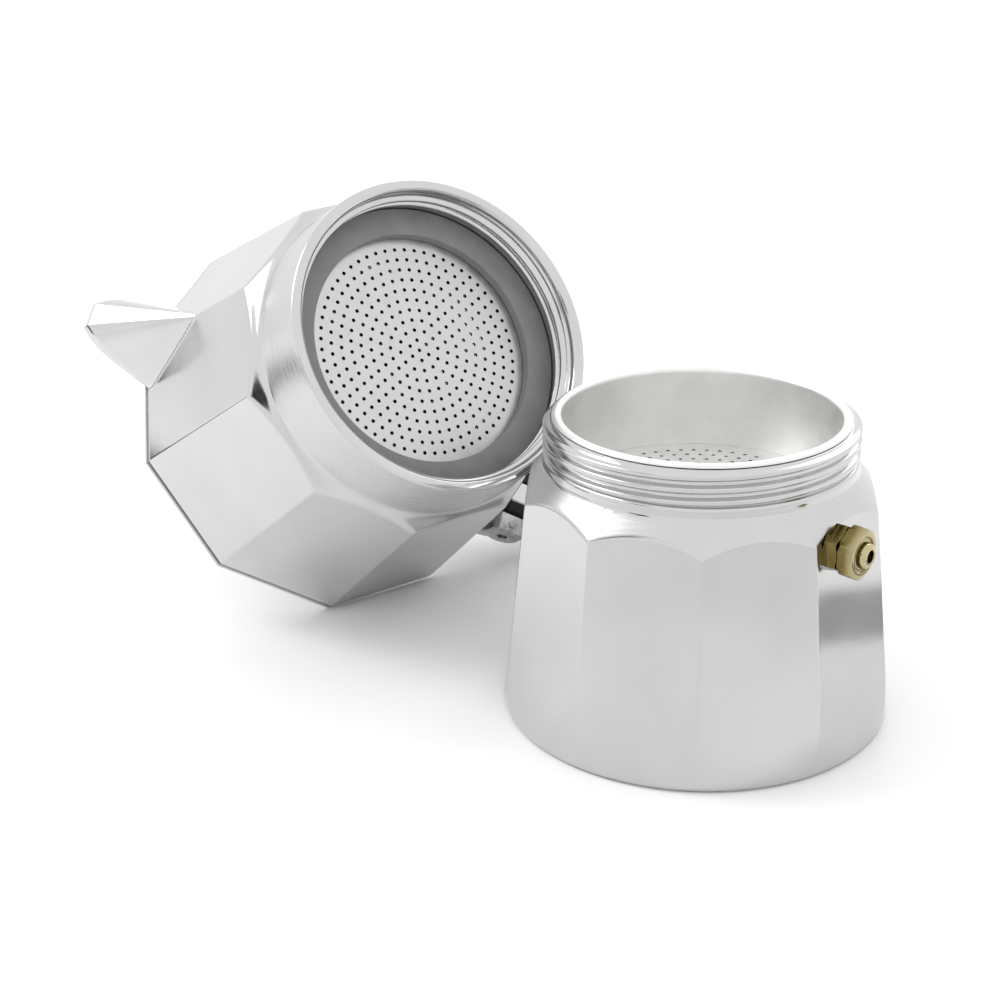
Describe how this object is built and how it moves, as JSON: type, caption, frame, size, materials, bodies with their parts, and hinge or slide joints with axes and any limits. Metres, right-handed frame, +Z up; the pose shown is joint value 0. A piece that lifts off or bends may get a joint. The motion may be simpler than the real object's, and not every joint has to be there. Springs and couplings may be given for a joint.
{
  "type": "moka pot",
  "caption": "Stovetop moka pot with faceted aluminium boiler and collector shown apart: boiler upright with its funnel, collector lying against it with mouth up.",
  "frame": {"origin": "centre of the boiler's flat base, where it stands on the table", "axes": "+Z up along the boiler's axis; +X points away from the collector, which lies on the -X side and a little behind, towards +Y"},
  "size_m": [0.2108, 0.1618, 0.1184],
  "materials": {
    "cast_aluminium": "polished, with fine turned and brushed lines",
    "pressed_aluminium": "satin",
    "filter_aluminium": "satin",
    "brass": "turned, slightly dull",
    "steel": "plain",
    "grey_rubber": "matt",
    "black_plastic": "moulded, satin"
  },
  "bodies": {
    "boiler": {"boiler": "cast_aluminium", "valve_body": "brass", "valve_cap": "brass", "valve_spring": "steel"},
    "valve_ball": {"valve_ball": "steel"},
    "funnel": {"funnel_basket": "pressed_aluminium", "funnel_disc": "pressed_aluminium", "funnel_tube": "pressed_aluminium"},
    "collector": {"collector": "cast_aluminium", "gasket": "grey_rubber", "filter_plate": "filter_aluminium", "hinge_pin": "steel", "handle": "black_plastic", "handle_pin": "steel"},
    "lid": {"lid": "cast_aluminium", "knob": "black_plastic", "knob_washer": "steel", "knob_screw": "steel"}
  },
  "joints": [
    {"name": "funnel_lift", "type": "slide", "parent": "boiler", "child": "funnel", "axis": [0, 0, 1], "range_m": [0, 0.075]},
    {"name": "collector_lift", "type": "slide", "parent": "boiler", "child": "collector", "axis": [0, 0, 1], "range_m": [0, 0.12]},
    {"name": "lid_hinge", "type": "hinge", "parent": "collector", "child": "lid", "pos_m": [-0.05446, 0.08834, 0.01574], "axis": [-0.1406, -0.7157, -0.6841], "range_deg": [0, 105]},
    {"name": "valve_lift", "type": "slide", "parent": "boiler", "child": "valve_ball", "axis": [0.8261, -0.5635, 0], "range_m": [0, 0.001], "stiffness_N_per_m": 40, "springref_m": -0.001, "deforming": ["valve_spring"]}
  ]
}
